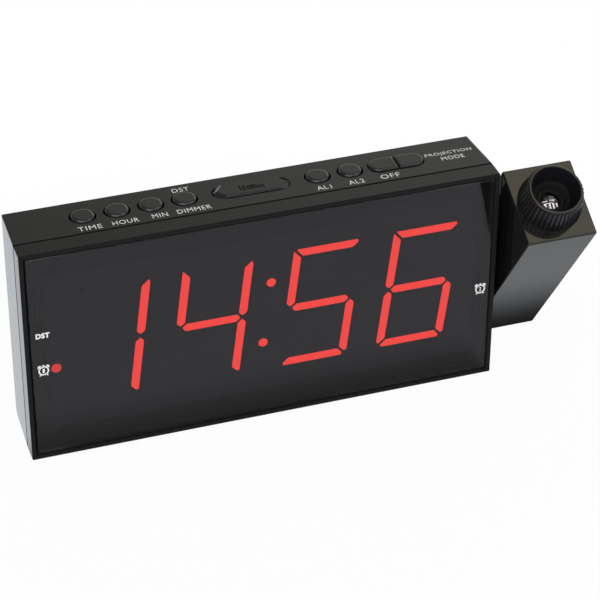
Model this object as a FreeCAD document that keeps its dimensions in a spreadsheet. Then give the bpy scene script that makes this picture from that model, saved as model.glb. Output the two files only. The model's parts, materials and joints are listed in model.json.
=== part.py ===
import FreeCAD, Part
import math
import os
import Sketcher

# Projection alarm clock: a flat case with a red four-digit display, nine keys on top,
# and a projector head that turns on a hollow pivot at the right-hand side.
#
# Three stations carry the parts, each with its own placement:
#   case    x from the middle of the case, y from its front face, z from its underside
#   head    the same axes with the head upright, then turned about the pivot
#   optics  z along the projector's beam, from the lens face outwards

doc = FreeCAD.newDocument("ProjectionClock")
sheet = doc.addObject("Spreadsheet::Sheet", "Sizes")


class Size:
    """A length that knows its value in millimetres and its expression."""

    def __init__(self, value, text):
        self.value = float(value)
        self.text = text

    def join(self, other, sign, value, swap=False):
        second = other.text if isinstance(other, Size) else repr(float(other))
        first = self.text
        if swap:
            first, second = second, first
        return Size(value, "({} {} {})".format(first, sign, second))

    def __add__(self, other):
        return self.join(other, "+", self.value + float(other))

    def __radd__(self, other):
        return self.join(other, "+", float(other) + self.value, swap=True)

    def __sub__(self, other):
        return self.join(other, "-", self.value - float(other))

    def __rsub__(self, other):
        return self.join(other, "-", float(other) - self.value, swap=True)

    def __mul__(self, other):
        return self.join(other, "*", self.value * float(other))

    def __rmul__(self, other):
        return self.join(other, "*", float(other) * self.value, swap=True)

    def __truediv__(self, other):
        return self.join(other, "/", self.value / float(other))

    def __neg__(self):
        return self * -1

    def __float__(self):
        return self.value


ZERO = Size(0, "0")
sheet_rows = []


def cell(alias, value, meaning):
    """One driving dimension, kept in the sheet under its alias."""
    row = len(sheet_rows) + 1
    sheet_rows.append(alias)
    sheet.set("A{}".format(row), meaning)
    sheet.set("B{}".format(row), str(value))
    sheet.setAlias("B{}".format(row), alias)
    return Size(value, "Sizes." + alias)


def size(value):
    return value if isinstance(value, Size) else Size(value, repr(float(value)))


# Driving dimensions
case_width = cell("case_width", 166.4, "case, side to side")
case_height = cell("case_height", 82.0, "case, underside to top")
case_depth = cell("case_depth", 28.8, "case, front to back")
case_draft = cell("case_draft", 0.9, "how far each side of the rear casing draws in")
frame_depth = cell("frame_depth", 7.1, "front frame, front to back")
frame_rim = cell("frame_rim", 1.45, "front frame, width of its rim")
seam = cell("seam", 0.6, "groove between front frame and rear casing")
wall = cell("wall", 2.0, "moulded wall")
edge_round = cell("edge_round", 0.5, "rounding of moulded outer edges")
seam_round = cell("seam_round", 0.2, "rounding on both sides of the groove")
foot_height = cell("foot_height", 2.2, "rubber foot below the case")
foot_radius = cell("foot_radius", 3.6, "rubber foot")
foot_sink = cell("foot_sink", 1.2, "recess that a rubber foot sits in")
window_gap = cell("window_gap", 0.55, "gap round the display window")
window_thick = cell("window_thick", 2.0, "display window")
window_sink = cell("window_sink", 0.3, "display window below the rim")
digit_height = cell("digit_height", 46.4, "one digit, over its segments")
digit_width = cell("digit_width", 24.65, "one digit, before it leans")
digit_lean = cell("digit_lean", 0.128, "sideways lean per unit of height")
digit_base = cell("digit_base", 18.5, "underside of the digits above the case underside")
digit_pitch = cell("digit_pitch", 35.6, "digit to digit within a pair")
pair_pitch = cell("pair_pitch", 38.65, "second digit to third, across the colon")
first_digit = cell("first_digit", -69.75, "left foot of the first digit")
segment_width = cell("segment_width", 2.87, "one segment")
segment_gap = cell("segment_gap", 0.9, "between two segments")
tip_round = cell("tip_round", 0.75, "rounding of a segment's corners")
colon_radius = cell("colon_radius", 1.65, "colon dot")
alarm_radius = cell("alarm_radius", 1.75, "alarm dot")
key_pitch = cell("key_pitch", 11.6, "round key to round key")
key_radius = cell("key_radius", 3.95, "round key")
key_clear = cell("key_clear", 0.65, "gap round a round key")
slot_clear = cell("slot_clear", 0.45, "gap round a long key")
snooze_radius = cell("snooze_radius", 3.95, "round ends of the snooze bar")
pair_radius = cell("pair_radius", 3.75, "round ends of the off and projection keys")
key_rise = cell("key_rise", 0.95, "key above the casing")
key_travel = cell("key_travel", 0.8, "how far a key goes down")
key_line = cell("key_line", 18.2, "middle of the keys behind the front face")
snooze_length = cell("snooze_length", 26.4, "snooze bar, end to end")
pair_length = cell("pair_length", 19.4, "off and projection keys together")
head_width = cell("head_width", 25.2, "projector head, side to side")
head_height = cell("head_height", 81.4, "projector head, along its front")
head_slope = cell("head_slope", 2.57, "fall of the lens face from front to back")
head_gap = cell("head_gap", 1.9, "case to projector head")
head_turn = cell("head_turn", 35.06, "forward turn of the head, degrees")
pivot_back = cell("pivot_back", 13.4, "pivot behind the front face")
pivot_up = cell("pivot_up", 39.5, "pivot above the case underside")
shaft_radius = cell("shaft_radius", 4.2, "pivot shaft")
shaft_clear = cell("shaft_clear", 0.05, "running clearance round the pivot shaft")
ring_foot = cell("ring_foot", 11.2, "focus ring at the lens face")
ring_top = cell("ring_top", 9.75, "focus ring at its rim")
ring_mouth = cell("ring_mouth", 8.6, "mouth of the focus ring's funnel")
ring_height = cell("ring_height", 9.0, "focus ring above the lens face")
knurl_count = 42
knurl_depth = cell("knurl_depth", 0.55, "groove of the focus ring's knurl")
barrel_radius = cell("barrel_radius", 5.0, "lens barrel")
lens_radius = cell("lens_radius", 3.6, "projection lens")
cell_radius = cell("cell_radius", 10.0, "backup coin cell")
cell_thick = cell("cell_thick", 3.2, "backup coin cell")
doc.recompute()

half_width = case_width / 2
rear_start = frame_depth + seam


# Placements of the three stations
def case_station():
    return FreeCAD.Placement(
        FreeCAD.Vector(0, -case_depth.value / 2, foot_height.value), FreeCAD.Rotation()
    )


def head_station():
    pivot = FreeCAD.Vector(0, pivot_back.value, pivot_up.value)
    turn = FreeCAD.Rotation(FreeCAD.Vector(1, 0, 0), head_turn.value)
    return case_station() * FreeCAD.Placement(FreeCAD.Vector(), turn, pivot)


head_left = half_width + head_gap
head_right = head_left + head_width
lens_face_tilt = math.degrees(math.atan2(head_slope.value, case_depth.value))


lens_face_middle = FreeCAD.Vector(
    (head_left + head_width / 2).value,
    case_depth.value / 2,
    (head_height - head_slope / 2).value,
)
lens_face = FreeCAD.Placement(
    lens_face_middle, FreeCAD.Rotation(FreeCAD.Vector(1, 0, 0), -lens_face_tilt)
)
stations = {
    "case": case_station(), "head": head_station(), "optics": head_station() * lens_face,
}
nodes = []


def finish(thing, label, station="case"):
    """Name a finished sub-part and put it in its station."""
    thing.Label = label
    thing.Placement = stations[station] * thing.Placement
    nodes.append(thing)
    return thing


# Sketch helpers
def new_body(name):
    return doc.addObject("PartDesign::Body", name + "_body")


def origin_plane(body, role):
    for feature in body.Origin.OriginFeatures:
        if feature.Role == role:
            return feature
    raise ValueError(role)


class Drawing:
    """Lines and constraints gathered for one sketch, then added in one go."""

    def __init__(self):
        self.shapes = []
        self.rules = []
        self.bound = []

    def add(self, shapes):
        first = len(self.shapes)
        self.shapes += shapes
        return first

    def join(self, kind, first, second):
        """Join the end of one line to the start of another."""
        self.rules.append(Sketcher.Constraint(kind, first, 2, second, 1))

    def fix(self, kind, geometry, point, value):
        """Bind one coordinate of a point to an expression."""
        self.bound.append((len(self.rules), value.text))
        self.rules.append(Sketcher.Constraint(kind, -1, 1, geometry, point, value.value))

    def fix_radius(self, geometry, radius):
        self.bound.append((len(self.rules), radius.text))
        self.rules.append(Sketcher.Constraint("Radius", geometry, radius.value))

    def commit(self, sketch):
        sketch.addGeometry(self.shapes, False)
        sketch.addConstraint(self.rules)
        for index, text in self.bound:
            sketch.setExpression("Constraints[{}]".format(index), text)
        return sketch


def new_sketch(body, plane, level=ZERO):
    """A sketch on one of the body's own planes: XY at z, XZ at y or YZ at x."""
    sketch = body.newObject("Sketcher::SketchObject", "Sketch")
    sketch.AttachmentSupport = [(origin_plane(body, plane + "_Plane"), "")]
    sketch.MapMode = "FlatFace"
    offset = -size(level) if plane == "XZ" else size(level)
    sketch.AttachmentOffset = FreeCAD.Placement(
        FreeCAD.Vector(0, 0, offset.value), FreeCAD.Rotation()
    )
    sketch.setExpression("AttachmentOffset.Base.z", offset.text)
    return sketch


def drawn(body, plane, level, draw):
    """A sketch with a drawing in it."""
    drawing = Drawing()
    draw(drawing)
    return drawing.commit(new_sketch(body, plane, level))


def outline(drawing, points):
    """A closed outline of straight sides through the points."""
    points = [(size(across), size(up)) for across, up in points]
    ends = [FreeCAD.Vector(across.value, up.value, 0) for across, up in points]
    count = len(points)
    first = drawing.add([
        Part.LineSegment(ends[i], ends[(i + 1) % count]) for i in range(count)
    ])
    for i, (across, up) in enumerate(points):
        drawing.join("Coincident", first + i, first + (i + 1) % count)
        drawing.fix("DistanceX", first + i, 1, across)
        drawing.fix("DistanceY", first + i, 1, up)


def rectangle(drawing, left, low, right, high):
    outline(drawing, [(left, low), (right, low), (right, high), (left, high)])


def circle(drawing, across, up, radius):
    across, up, radius = size(across), size(up), size(radius)
    centre = FreeCAD.Vector(across.value, up.value, 0)
    index = drawing.add([Part.Circle(centre, FreeCAD.Vector(0, 0, 1), radius.value)])
    drawing.fix("DistanceX", index, 3, across)
    drawing.fix("DistanceY", index, 3, up)
    drawing.fix_radius(index, radius)


def recompute(feature):
    """Recompute the document and stop at a feature that fails."""
    doc.recompute()
    if "Invalid" in feature.State or not feature.Shape.isValid():
        raise ValueError("{} fails: {}".format(feature.Name, feature.getStatusString()))
    return feature


def extrude(body, sketch, length, towards, cut=False):
    """Pad or pocket a sketch along its plane's axis, towards +1 or -1."""
    kind = "PartDesign::Pocket" if cut else "PartDesign::Pad"
    feature = body.newObject(kind, "Pocket" if cut else "Pad")
    feature.Profile = sketch
    feature.Length = size(length).value
    feature.setExpression("Length", size(length).text)
    facing_front = sketch.AttachmentSupport[0][0].Role == "XZ_Plane"
    along_normal = (towards < 0) if facing_front else (towards > 0)
    feature.Reversed = along_normal if cut else not along_normal
    before = body.Shape.Volume if cut else 0
    recompute(feature)
    if cut and feature.Shape.Volume >= before - 1e-6:
        raise ValueError("the pocket in {} cuts nothing".format(body.Name))
    return feature


def pad(body, plane, level, length, draw, towards=1):
    return extrude(body, drawn(body, plane, level, draw), length, towards)


def pocket(body, plane, level, length, draw, towards=-1):
    return extrude(body, drawn(body, plane, level, draw), length, towards, cut=True)


def revolve(body, points, cut=False):
    """Turn an outline of (radius, height) points about the body's Z axis."""
    sketch = drawn(body, "XZ", 0, lambda drawing: outline(drawing, points))
    feature = body.newObject(
        "PartDesign::Groove" if cut else "PartDesign::Revolution", "Turned"
    )
    feature.Profile = sketch
    feature.ReferenceAxis = (sketch, ["V_Axis"])
    feature.Angle = 360
    return recompute(feature)


def loft(body, sections, cut=False):
    feature = body.newObject(
        "PartDesign::SubtractiveLoft" if cut else "PartDesign::AdditiveLoft", "Loft"
    )
    feature.Profile = sections[0]
    feature.Sections = sections[1:]
    feature.Ruled = True
    return recompute(feature)


def round_edges(body, radius, wanted, kind="Fillet"):
    """Round or bevel the body's edges whose middle point is wanted."""
    base = body.Tip
    names = []
    for i, edge in enumerate(base.Shape.Edges):
        middle = edge.valueAt((edge.FirstParameter + edge.LastParameter) / 2)
        if wanted(middle, edge):
            names.append("Edge{}".format(i + 1))
    if not names:
        raise ValueError("no edge to round in " + body.Name)
    feature = body.newObject("PartDesign::" + kind, kind)
    feature.Base = (base, names)
    goal = "Radius" if kind == "Fillet" else "Size"
    setattr(feature, goal, size(radius).value)
    feature.setExpression(goal, size(radius).text)
    return recompute(feature)


def near(value, goal, reach=0.02):
    return abs(float(value) - float(goal)) < reach


# Primitive helpers
def block(name, low, high):
    """A box between two corners."""
    low = [size(value) for value in low]
    high = [size(value) for value in high]
    box = doc.addObject("Part::Box", name)
    for side, start, end in zip(("Length", "Width", "Height"), low, high):
        box.setExpression(side, (end - start).text)
    box.Placement.Base = FreeCAD.Vector(*[value.value for value in low])
    return box


AXIS_TURN = {
    "X": FreeCAD.Rotation(FreeCAD.Vector(0, 1, 0), 90),
    "Y": FreeCAD.Rotation(FreeCAD.Vector(1, 0, 0), -90),
    "Z": FreeCAD.Rotation(),
}


def rod(name, axis, start, radius, length):
    """A cylinder from its start point along +X, +Y or +Z."""
    cylinder = doc.addObject("Part::Cylinder", name)
    cylinder.setExpression("Radius", size(radius).text)
    cylinder.setExpression("Height", size(length).text)
    base = FreeCAD.Vector(*[size(value).value for value in start])
    cylinder.Placement = FreeCAD.Placement(base, AXIS_TURN[axis])
    return cylinder


def cut(name, base, tool):
    result = doc.addObject("Part::Cut", name)
    result.Base = base
    result.Tool = tool
    return result


def fuse(name, *things):
    result = doc.addObject("Part::MultiFuse", name)
    result.Shapes = list(things)
    return result


def group(name, things):
    """Separate solids that share one node, such as identical screws."""
    result = doc.addObject("Part::Compound", name)
    result.Links = list(things)
    return result


# Front frame: picture-frame moulding with a ledge that the display window sits on
ledge_width = 3.1
ledge_front = window_sink + window_thick + 0.1
ledge_back = ledge_front + 1.2
boss_x = half_width - 5.7
boss_low = Size(5.5, "5.5")
boss_high = case_height - 5.5
boss_end = Size(12.0, "12.0")
screw_radius = 1.3
corners = [(side * 1.0, up) for side in (-1, 1) for up in (boss_low, boss_high)]


def inner_rectangle(margin):
    """Draws a rectangle that lies a margin inside the case's front outline."""
    def draw(sketch):
        rectangle(
            sketch, margin - half_width, margin, half_width - margin, case_height - margin
        )
    return draw


frame = new_body("front_frame")
pad(frame, "XZ", 0, frame_depth, inner_rectangle(ZERO + 0))
round_edges(
    frame, edge_round,
    lambda p, e: near(e.Length, frame_depth) or near(p.y, 0),
)
round_edges(frame, seam_round, lambda p, e: near(p.y, frame_depth))
pocket(frame, "XZ", 0, ledge_front, inner_rectangle(frame_rim), towards=1)
pocket(frame, "XZ", 0, frame_depth, inner_rectangle(frame_rim + ledge_width), towards=1)
pocket(frame, "XZ", frame_depth, frame_depth - ledge_back, inner_rectangle(frame_rim))


def draw_bosses(radius):
    def draw(sketch):
        for side, up in corners:
            circle(sketch, boss_x * side, up, radius)
    return draw


pad(frame, "XZ", ledge_front + 0.3, boss_end - ledge_front - 0.3, draw_bosses(3.2))
pocket(frame, "XZ", boss_end, boss_end - 5.0, draw_bosses(screw_radius))
finish(frame, "front_frame")

# Display window: smoked sheet with a small bevel all round its front face
window = new_body("display_window")
pad(window, "XZ", window_sink, window_thick, inner_rectangle(frame_rim + window_gap))
round_edges(window, 0.25, lambda p, e: near(p.y, window_sink), "Chamfer")
finish(window, "display_window")

# Display: slanted seven-segment digits, drawn as mitred bars
digits = (
    (first_digit, "bc"),
    (first_digit + digit_pitch, "bcfg"),
    (first_digit + digit_pitch + pair_pitch, "acdfg"),
    (first_digit + digit_pitch + pair_pitch + digit_pitch, "acdefg"),
)
reflector_front = ledge_back - 1.0
reflector_depth = 6.0
board_front = reflector_front + reflector_depth
segment_depth = 1.6


def segment_points(name):
    """Corners of one segment of an upright digit, from its lower left corner."""
    slot = segment_gap * 0.707
    bar = segment_width
    high, wide, middle, half = digit_height, digit_width, digit_height / 2, segment_width / 2
    right = name in "bc"
    lower = name in "dec"
    if name in "ad":
        points = [(slot, 0), (bar + slot, bar), (wide - bar - slot, bar), (wide - slot, 0)]
    elif name == "g":
        points = [
            (half + slot, middle), (bar + slot, middle + half),
            (wide - bar - slot, middle + half), (wide - half - slot, middle),
            (wide - bar - slot, middle - half), (bar + slot, middle - half),
        ]
    else:
        points = [
            (0, slot), (bar, bar + slot), (bar, middle - half - slot),
            (half, middle - slot), (0, middle - half - slot),
        ]
    if right:
        points = [(wide - across, up) for across, up in points]
    if not lower and name != "g":
        points = [(across, high - up) for across, up in points]
    return points


def leaned(left, points):
    return [(left + across + up * digit_lean, digit_base + up) for across, up in points]


segment_list = [
    (left, name, name in lit)
    for left, lit in digits for name in "abcdefg"
]
colon_x = cell("colon_x", 2.33, "upper colon dot")
colon_high = cell("colon_high", 53.6, "upper colon dot above the case underside")
colon_low = cell("colon_low", 29.7, "lower colon dot above the case underside")
alarm_x = cell("alarm_x", 72.7, "alarm dots, from the middle")
alarm_up = cell("alarm_up", 35.0, "alarm dots above the case underside")
dst_up = cell("dst_up", 49.0, "summer-time dot above the case underside")
doc.recompute()
dots = [
    (colon_x, colon_high, colon_radius, True),
    (colon_x - (colon_high - colon_low) * digit_lean, colon_low, colon_radius, True),
    (-alarm_x, alarm_up, alarm_radius, True),
    (alarm_x, alarm_up, alarm_radius, False),
    (-alarm_x, dst_up, alarm_radius, False),
]


def draw_digit(left):
    def draw(sketch):
        for name in "abcdefg":
            outline(sketch, leaned(left, segment_points(name)))
    return draw


def draw_dots(sketch):
    for across, up, radius, on in dots:
        circle(sketch, across, up, radius)


# Light-tight block behind the window, one well for each segment and dot
reflector_half = half_width - 7.9
board_corners = [(side * 73.0, up) for side in (-1, 1) for up in (13.0, 69.0)]
reflector = new_body("display_reflector")
pad(
    reflector, "XZ", reflector_front, reflector_depth,
    lambda sketch: rectangle(sketch, -reflector_half, 10.0, reflector_half, 72.0),
)
for left, lit in digits:
    pocket(
        reflector, "XZ", reflector_front, reflector_depth, draw_digit(size(left)), towards=1
    )
pocket(reflector, "XZ", reflector_front, reflector_depth, draw_dots, towards=1)
pocket(
    reflector, "XZ", board_front, 3.2,
    lambda sketch: [circle(sketch, across, up, 1.02) for across, up in board_corners],
)
finish(reflector, "display_reflector")


def diffusers(label, lit):
    """Translucent segment bars that fill the front of the wells."""
    bars = []
    for left, name, on in segment_list:
        if on != lit:
            continue
        corners_mm = [
            FreeCAD.Vector(across.value, reflector_front.value, up.value)
            for across, up in leaned(size(left), segment_points(name))
        ]
        face = Part.Face(Part.makePolygon(corners_mm + corners_mm[:1]))
        bar = face.extrude(FreeCAD.Vector(0, segment_depth, 0))
        uprights = [
            edge for edge in bar.Edges
            if near(edge.Vertexes[0].X, edge.Vertexes[1].X, 1e-6)
            and near(edge.Vertexes[0].Z, edge.Vertexes[1].Z, 1e-6)
        ]
        bars.append(bar.makeFillet(tip_round.value, uprights))
    for across, up, radius, on in dots:
        if on == lit:
            start = FreeCAD.Vector(size(across).value, reflector_front.value, size(up).value)
            axis = FreeCAD.Vector(0, 1, 0)
            bars.append(Part.makeCylinder(radius.value, segment_depth, start, axis))
    feature = doc.addObject("Part::Feature", label + "_bars")
    feature.Shape = Part.makeCompound(bars)
    return finish(feature, label)


diffusers("lit_segments", True)
diffusers("unlit_segments", False)

# Display board with one small light behind each well
display_board = new_body("display_board")
pad(
    display_board, "XZ", board_front, 1.6,
    lambda sketch: rectangle(sketch, -76.5, 10.0, 76.5, 72.0),
)
pocket(
    display_board, "XZ", board_front, 1.6,
    lambda sketch: [circle(sketch, across, up, 1.25) for across, up in board_corners],
    towards=1,
)

# The board is notched beside the pivot
pocket(
    display_board, "XZ", board_front, 1.6,
    lambda sketch: rectangle(sketch, 74.8, pivot_up - 8.0, 77.0, pivot_up + 8.0),
    towards=1,
)
finish(display_board, "display_board")

finish(
    group("display_screw_group", [
        fuse(
            "display_screw",
            rod("display_shank", "Y", (across, board_front - 3.0, up), 1.0, 4.6),
            rod("display_head", "Y", (across, board_front + 1.6, up), 1.9, 1.2),
        )
        for across, up in board_corners
    ]),
    "display_screws",
)
led_length, led_height, led_thick = 1.6, 0.8, 0.6
chips = []
for left, name, on in segment_list:
    points = leaned(size(left), segment_points(name))
    across = sum(point[0].value for point in points) / len(points)
    up = sum(point[1].value for point in points) / len(points)
    chips.append((across, up))
for across, up, radius, on in dots:
    chips.append((size(across).value, size(up).value))
finish(
    group("segment_led_group", [
        block(
            "segment_led",
            (across - led_length / 2, board_front - led_thick, up - led_height / 2),
            (across + led_length / 2, board_front, up + led_height / 2),
        )
        for across, up in chips
    ]),
    "segment_leds",
)

# Rear casing: drafted shell with a tongue that enters the front frame
cavity_half = half_width - 3.2
cavity_low = Size(3.2, "3.2")
cavity_high = case_height - 3.2
tongue_front = Size(4.2, "4.2")
inner_back = case_depth - wall
casing = new_body("rear_casing")
pad(casing, "XZ", rear_start, case_depth - rear_start, inner_rectangle(ZERO + 0))
for side in (-1, 1):
    pocket(
        casing, "XY", -1.0, case_height + 2.0,
        lambda sketch: outline(sketch, [
            (half_width * side, rear_start), (half_width * side, case_depth + 1.0),
            ((half_width - case_draft) * side, case_depth + 1.0),
            ((half_width - case_draft) * side, case_depth),
        ]),
        towards=1,
    )
pocket(
    casing, "YZ", -half_width - 1.0, case_width + 2.0,
    lambda sketch: outline(sketch, [
        (rear_start, case_height), (case_depth, case_height - case_draft),
        (case_depth + 1.0, case_height - case_draft), (case_depth + 1.0, case_height),
    ]),
    towards=1,
)
round_edges(
    casing, 3.0,
    lambda p, e: near(p.y, case_depth) and p.z < 2,
)
round_edges(
    casing, edge_round,
    lambda p, e: (near(p.y, case_depth) and p.z > 4)
    or (e.Length < 25 and abs(p.y - (rear_start.value + case_depth.value) / 2) < 3),
)
round_edges(casing, seam_round, lambda p, e: near(p.y, rear_start))
pad(casing, "XZ", tongue_front, rear_start - tongue_front, inner_rectangle(frame_rim + 0.2))
pocket(
    casing, "XZ", tongue_front, inner_back - tongue_front,
    lambda sketch: rectangle(sketch, -cavity_half, cavity_low, cavity_half, cavity_high),
    towards=1,
)
pad(casing, "XZ", boss_end, inner_back - boss_end + 0.5, draw_bosses(4.3))
pocket(casing, "XZ", boss_end, case_depth, draw_bosses(1.5), towards=1)
pocket(casing, "XZ", case_depth, case_depth - 16.0, draw_bosses(2.9))

# The tongue leaves room for the front frame's screw bosses
pocket(
    casing, "XZ", tongue_front, boss_end - tongue_front,
    draw_bosses(3.5), towards=1,
)

# Openings in the top for the keys
key_places = [
    ("key_time", -57.4), ("key_hour", -45.8), ("key_min", -34.2), ("key_dimmer", -22.6),
    ("key_al1", 24.0), ("key_al2", 35.6),
]
snooze_x = 0.55
pair_x = 52.15
hole_radius = key_radius + key_clear


def stadium(drawing, middle, length, radius, back=key_line):
    """A slot with round ends, long across the clock."""
    middle, length, radius, back = size(middle), size(length), size(radius), size(back)
    reach = length / 2 - radius
    left, right = middle - reach, middle + reach
    low, high = back - radius, back + radius
    quarter = math.pi / 2
    up = FreeCAD.Vector(0, 0, 1)
    vector = FreeCAD.Vector
    first = drawing.add([
        Part.LineSegment(vector(left.value, low.value, 0), vector(right.value, low.value, 0)),
        Part.ArcOfCircle(
            Part.Circle(vector(right.value, back.value, 0), up, radius.value), -quarter, quarter
        ),
        Part.LineSegment(vector(right.value, high.value, 0), vector(left.value, high.value, 0)),
        Part.ArcOfCircle(
            Part.Circle(vector(left.value, back.value, 0), up, radius.value), quarter, 3 * quarter
        ),
    ])
    for i in range(4):
        drawing.join("Tangent", first + i, first + (i + 1) % 4)
    for arc, across in ((1, right), (3, left)):
        drawing.fix("DistanceX", first + arc, 3, across)
        drawing.fix("DistanceY", first + arc, 3, back)
    drawing.rules.append(Sketcher.Constraint("Equal", first + 1, first + 3))
    drawing.fix_radius(first + 1, radius)


def draw_key_holes(sketch):
    for name, across in key_places:
        circle(sketch, across, key_line, hole_radius)
    stadium(sketch, snooze_x, snooze_length + slot_clear * 2, snooze_radius + slot_clear)
    stadium(sketch, pair_x, pair_length + slot_clear * 2, pair_radius + slot_clear)


pocket(casing, "XY", case_height, case_height - cavity_high + 1.0, draw_key_holes)

# Right-hand wall: pivot hole, and two ribs that stop the head a quarter turn each way
bush_radius = Size(5.35, "5.35")
pocket(
    casing, "YZ", half_width, 6.0,
    lambda sketch: circle(sketch, pivot_back, pivot_up, bush_radius),
)
lug_half = 1.2
for side in (-1, 1):
    inner, outer = side * 5.9, side * 8.4
    pad(
        casing, "YZ", cavity_half, 3.0,
        lambda sketch: rectangle(
            sketch, pivot_back + min(inner, outer), pivot_up + lug_half + 0.1,
            pivot_back + max(inner, outer), pivot_up + 4.0,
        ),
        towards=-1,
    )

# Rear wall: recess and opening for the battery door, sound holes, supply socket
door_x, door_up = Size(-48.0, "-48.0"), Size(30.0, "30.0")
door_half = cell_radius + 6.8
bay_half = cell_radius + 3.0
door_sink = 1.2
door_clear = 0.25
buzzer_x, buzzer_up, buzzer_radius = 8.0, 44.0, 11.5
jack_x, jack_up = 48.0, 16.0
jack_nozzle = 4.0


def square(middle, up, half):
    def draw(sketch):
        rectangle(sketch, middle - half, up - half, middle + half, up + half)
    return draw


pocket(casing, "XZ", case_depth, door_sink, square(door_x, door_up, door_half + door_clear))
pocket(casing, "XZ", case_depth, wall + 1.0, square(door_x, door_up, bay_half))

# Finger recess under the door, and a boss that takes its screw
finger_radius = 5.0
door_screw_radius = 0.75
door_screw_up = door_up + bay_half + 1.8
pocket(
    casing, "XZ", case_depth, door_sink,
    lambda sketch: circle(sketch, door_x, door_up - door_half, finger_radius),
)
pad(
    casing, "XZ", inner_back - 2.4, 2.5,
    lambda sketch: circle(sketch, door_x, door_screw_up, 1.7),
)
pocket(
    casing, "XZ", case_depth, 4.4,
    lambda sketch: circle(sketch, door_x, door_screw_up, door_screw_radius + 0.05),
)


def draw_sound_holes(sketch):
    circle(sketch, buzzer_x, buzzer_up, 0.8)
    for ring, count in ((2.8, 6), (5.6, 12)):
        for i in range(count):
            angle = 2 * math.pi * i / count
            circle(
                sketch, buzzer_x + ring * math.cos(angle), buzzer_up + ring * math.sin(angle), 0.8
            )


pocket(casing, "XZ", case_depth, wall + 1.0, draw_sound_holes)
pocket(
    casing, "XZ", case_depth, wall + 1.0,
    lambda sketch: circle(sketch, jack_x, jack_up, jack_nozzle + 0.15),
)


# Inside the rear wall: collar round the buzzer and posts for the main board
def draw_collar(sketch):
    circle(sketch, buzzer_x, buzzer_up, buzzer_radius + 1.6)
    circle(sketch, buzzer_x, buzzer_up, buzzer_radius + 0.1)


pad(casing, "XZ", inner_back - 3.0, 3.1, draw_collar)
main_board_front = 19.4
board_thick = 1.6
main_board_back = main_board_front + board_thick
post_places = [(-66.0, 12.0), (-66.0, 60.0), (66.0, 12.0), (66.0, 60.0)]


def draw_posts(radius):
    def draw(sketch):
        for across, up in post_places:
            circle(sketch, across, up, radius)
    return draw


pad(casing, "XZ", main_board_back, inner_back - main_board_back + 0.1, draw_posts(2.6))
pocket(casing, "XZ", main_board_back, 5.0, draw_posts(1.0), towards=1)

# Recesses for the feet
foot_places = [(side * 69.0, back) for side in (-1, 1) for back in (12.0, 21.8)]


def draw_feet(sketch):
    for across, back in foot_places:
        circle(sketch, across, back, foot_radius + 0.05)


pocket(casing, "XY", 0, foot_sink, draw_feet, towards=1)

# Brackets that hold the key board at its ends
key_board_low = 69.0
key_board_top = key_board_low + board_thick
for side in (-1, 1):
    pad(
        casing, "YZ", side * cavity_half, 13.0,
        lambda sketch: rectangle(sketch, 13.5, key_board_low - 2.0, 24.0, key_board_low),
        towards=-side,
    )
finish(casing, "rear_casing")

# Keys: domed caps on a retaining flange, with a stem that reaches the switch
top_at_keys = case_height - case_draft * (key_line - rear_start) / (case_depth - rear_start)
cap_top = top_at_keys + key_rise
flange_top = cavity_high - 0.3
flange_low = flange_top - 1.0
switch_height = 3.4
switch_top = key_board_top + switch_height
tip_low = switch_top - 0.6
stem_radius = 1.6


def add_stem(body, across):
    pad(
        body, "XY", tip_low, flange_low - tip_low + 0.2,
        lambda sketch: circle(sketch, across, key_line, stem_radius),
    )


def cap_rim(p, e):
    return near(p.z, cap_top)


key_dome = 0.95


for name, across in key_places:
    key = new_body(name)
    pad(
        key, "XY", flange_low, flange_top - flange_low,
        lambda sketch: circle(sketch, across, key_line, key_radius + 1.1),
    )
    pad(
        key, "XY", flange_top, cap_top - flange_top,
        lambda sketch: circle(sketch, across, key_line, key_radius),
    )
    round_edges(key, key_dome, cap_rim)
    add_stem(key, across)
    finish(key, name)

# Snooze bar: long bevelled cap whose ends slope down in two facets each
snooze_top = cap_top - 0.05
snooze_bevel = 0.6
facet_inset = 1.3
facet_slope = 34
facet_turn = 38
snooze = new_body("key_snooze")
pad(
    snooze, "XY", flange_low, flange_top - flange_low,
    lambda sketch: stadium(sketch, snooze_x, snooze_length + 2.0, snooze_radius + 1.0),
)
pad(
    snooze, "XY", flange_top, snooze_top - flange_top,
    lambda sketch: stadium(sketch, snooze_x, snooze_length, snooze_radius),
)
round_edges(snooze, snooze_bevel, lambda p, e: near(p.z, snooze_top), "Chamfer")
add_stem(snooze, snooze_x)
facets = []
for side in (-1, 1):
    tip_x = snooze_x + side * (snooze_length.value / 2 - facet_inset)
    for lean in (-facet_turn, facet_turn):
        outwards = FreeCAD.Rotation(FreeCAD.Vector(0, 0, 1), lean + (0 if side > 0 else 180))
        down = FreeCAD.Rotation(FreeCAD.Vector(0, 1, 0), facet_slope)
        facet = block("facet", (0, -9.0, 0), (8.0, 9.0, 4.0))
        tip = FreeCAD.Vector(tip_x, key_line.value, snooze_top.value)
        turn = outwards * down
        facet.Placement = FreeCAD.Placement(tip, turn) * facet.Placement
        facets.append(facet)
finish(cut("snooze_faceted", snooze, fuse("snooze_facets", *facets)), "key_snooze")

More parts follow.
